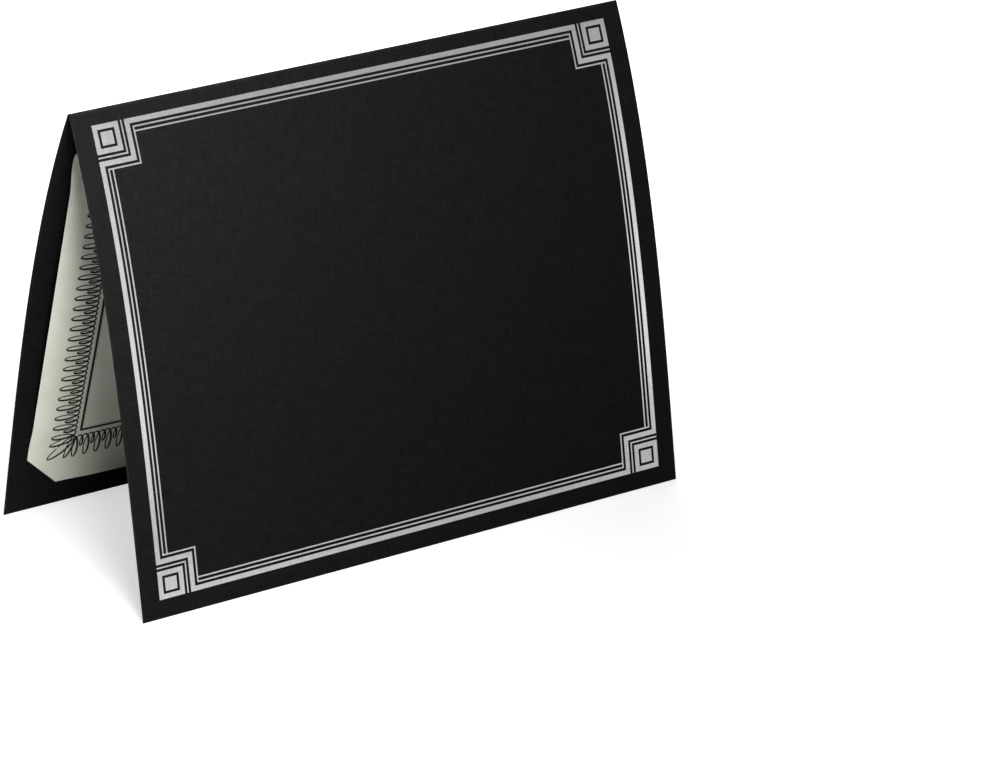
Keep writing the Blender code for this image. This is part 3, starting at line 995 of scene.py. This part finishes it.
forward = times(tree, sums(tree, "SINE", phase), swing)
forward = sums(tree, "MULTIPLY_ADD", rise, given["Slant"], forward)
across = arrows(tree, "CROSS_PRODUCT", heading, (0.0, 0.0, 1.0))
rise = sums(tree, "SUBTRACT", rise, times(tree, given["Long loop"], 0.5))
offset = arrows(tree, "ADD", scaled(tree, heading, forward), scaled(tree, across, rise))
offset = arrows(tree, "ADD", offset, given["Centre"])
swung = fed(tree, "GeometryNodeSetPosition", {"Geometry": path, "Offset": offset})[0]
pressure = sums(tree, "MULTIPLY_ADD", sums(tree, "SINE", phase), -0.5, 0.5)
pen_width = between(tree, pressure, given["Thin stroke"], given["Thick stroke"])
ridge_on_sheet(tree, swung, pen_width, given, result)
print(tree.name, "has", len(tree.nodes), "nodes")

# %% [markdown]
# The loops' pitch decides the path: 78 loops lie between two corners along the sheet, and 56 down it. The
# print lies a little left of the sheet's middle, and its strokes swell as a pen's do.

# %% Print the loop border
LONG_LOOP = 13.0 * MM
LOOP_PITCH = 3.07 * MM
CORNER_BEND = 5.8 * MM
PRINT_SLIDE = SHEET_SLIDE - 1.3 * MM
LOOPS_BETWEEN_CORNERS = (78, 56)
STEPS_PER_LOOP = 14
TURN_AT_CORNER = 2.5

corner_saving = (2.0 - math.pi / 2) * CORNER_BEND
path_width, path_height = (count * LOOP_PITCH + corner_saving for count in LOOPS_BETWEEN_CORNERS)
loop_count = 2 * sum(LOOPS_BETWEEN_CORNERS)
first_corner = math.pi * CORNER_BEND / 4 / LOOP_PITCH
sides = ((SHEET_WIDTH, path_width), (SHEET_HEIGHT, path_height))
tips = [round((size - path - LONG_LOOP) / 2 / MM, 2) for size, path in sides]
print("loop tips from the sheet's edges:", tips, "mm")
shared_settings = {"Sheet": flat_sheet, "Leaf profile": leaf_profile, "Ink rise": INK_RISE}
printed_border = run_tree("printed_border", straight_curve("printed_border", []), BORDER_TREE, {
    "Path width": path_width, "Path height": path_height, "Corner": CORNER_BEND,
    "Loops": loop_count, "Steps per loop": STEPS_PER_LOOP, "Start": TURN_AT_CORNER - first_corner,
    "Long loop": LONG_LOOP, "Long swing": 2.05 * MM,
    "Short loop": 6.9 * MM, "Short swing": 1.45 * MM,
    "Slant": 0.03, "Fan": 0.36, "Fan swing": 0.65,
    "Thin stroke": 0.62 * MM, "Thick stroke": 1.12 * MM,
    "Centre": (PRINT_SLIDE, SHEET_MIDDLE, 0.0), "Finish": ENGRAVING_INK, **shared_settings,
})
print("loops:", loop_count)

# %% [markdown]
# The plain lines of the print are drawn as curves, in millimetres from the sheet's top left corner: a rule
# round the writing space, a short swelled rule with a curl at each end, a scroll, and lines to write on.
# Printers have long used a swelled rule, whose middle is thicker than its ends, to mark the head of a page.

# %% Print the rules, the writing lines and the scroll
def print_lines(name, strokes, thin, thick, step, material):
    """Print some strokes, given as lists of places in millimetres from the sheet's top left corner."""
    left, top = PRINT_SLIDE - SHEET_WIDTH / 2, SHEET_MIDDLE - SHEET_HEIGHT / 2
    flat = [[(left + across * MM, top + down * MM, 0.0) for across, down in stroke] for stroke in strokes]
    settings = {"Thin stroke": thin * MM, "Thick stroke": thick * MM, "Step": step * MM, "Finish": material}
    return run_tree(name, straight_curve(name, flat), LINE_TREE, settings | shared_settings)


def curl(middle, radius, turns, start, steps=40, squash=1.0):
    """A stroke that winds out from its middle."""
    stroke = []
    for index in range(steps + 1):
        share = index / steps
        angle = start + turns * 2 * math.pi * share
        reach = radius * share**0.8
        stroke.append((middle[0] + reach * math.cos(angle), middle[1] + squash * reach * math.sin(angle)))
    return stroke


def smooth_through(points, steps=10):
    """A smooth stroke through a few places, each step of it a mean of the four nearest."""
    stroke = []
    ends = [points[0], *points, points[-1]]
    for near in zip(ends, ends[1:], ends[2:], ends[3:]):
        for t in (index / steps for index in range(steps)):
            shares = (-t + 2 * t**2 - t**3, 2 - 5 * t**2 + 3 * t**3, t + 4 * t**2 - 3 * t**3, t**3 - t**2)
            pairs = [(share / 2, place) for share, place in zip(shares, near)]
            stroke.append(tuple(sum(share * place[way] for share, place in pairs) for way in (0, 1)))
    return stroke + [points[-1]]


RULE_SIDE = 27.8
RULE_END = 30.4
RULE_WIDTH = 1.3
THIN_RULE_WIDTH = 0.2
THIN_RULE_INSET = 1.2
LINE_STEP = 2.5
WRITING_WIDTH = 0.35
SWELLED_HALF = 38.0
SWELLED_DOWN = 52.0
SCROLL_STROKES = (0.16, 0.75)
SCROLL_STEP = 0.4
width_mm = SHEET_WIDTH / MM
height_mm = SHEET_HEIGHT / MM


def print_rule(name, inset, width, material):
    """Print an even rule round the writing space: four straight strokes, butted at the corners."""
    left, top = RULE_SIDE + inset, RULE_END + inset
    right, foot = width_mm - left, height_mm - top
    half = width / 2
    strokes = [[(left - half, down), (right + half, down)] for down in (top, foot)]
    strokes += [[(across, top + half), (across, foot - half)] for across in (left, right)]
    return print_lines(name, strokes, width, width, LINE_STEP, material)


printed_rule = print_rule("printed_rule", 0.0, RULE_WIDTH, ENGRAVING_INK)
printed_thin_rule = print_rule("printed_thin_rule", THIN_RULE_INSET, THIN_RULE_WIDTH, BEIGE_INK)

WRITING_LINES = {
    102.6: [(98.0, 181.0)],
    128.6: [(98.0, 181.0)],
    140.6: [(94.0, 119.0), (137.0, 188.0), (197.5, 208.5)],
    151.6: [(65.5, 134.5), (143.5, 211.0)],
    163.0: [(143.5, 211.0)],
}
writing_strokes = [
    [(start, down), (end, down)] for down, segments in WRITING_LINES.items() for start, end in segments
]
writing = (WRITING_WIDTH, WRITING_WIDTH, LINE_STEP, BEIGE_INK)
printed_lines = print_lines("printed_writing_lines", writing_strokes, *writing)

centre = width_mm / 2
half_scroll = [
    curl((3.4, 64.6), 2.5, -1.6, 1.2),
    smooth_through([
        (5.6, 64.0), (5.0, 67.5), (3.2, 71.0), (2.6, 74.5), (5.2, 77.2), (8.4, 76.0), (9.0, 73.6),
    ]),
    curl((12.6, 75.6), 3.1, 1.5, 2.6, squash=0.72),
    smooth_through([(9.6, 76.6), (11.4, 78.4), (14.6, 78.0), (17.2, 75.4), (17.0, 73.8)]),
    curl((41.0, 50.6), 2.2, 1.3, 1.0),
]
scroll_strokes = [[(centre + side * SWELLED_HALF, SWELLED_DOWN) for side in (-1, 0, 1)]]
for side in (-1, 1):
    scroll_strokes += [[(centre + side * x, down) for x, down in stroke] for stroke in half_scroll]
printed_scroll = print_lines("printed_scroll", scroll_strokes, *SCROLL_STROKES, SCROLL_STEP, ENGRAVING_INK)
bpy.data.objects.remove(flat_sheet, do_unlink=True)
bpy.data.objects.remove(leaf_profile, do_unlink=True)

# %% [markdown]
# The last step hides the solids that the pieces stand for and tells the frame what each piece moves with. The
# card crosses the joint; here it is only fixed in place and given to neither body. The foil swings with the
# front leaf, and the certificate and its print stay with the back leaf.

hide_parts("front_cover", "back_cover", "scored_fold")
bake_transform(card_cover)
for node, piece in foil.items():
    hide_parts(node)
    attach(piece, "front")
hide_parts("certificate")
for piece in (sheet, printed_border, printed_rule, printed_thin_rule, printed_lines, printed_scroll):
    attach(piece, "back")
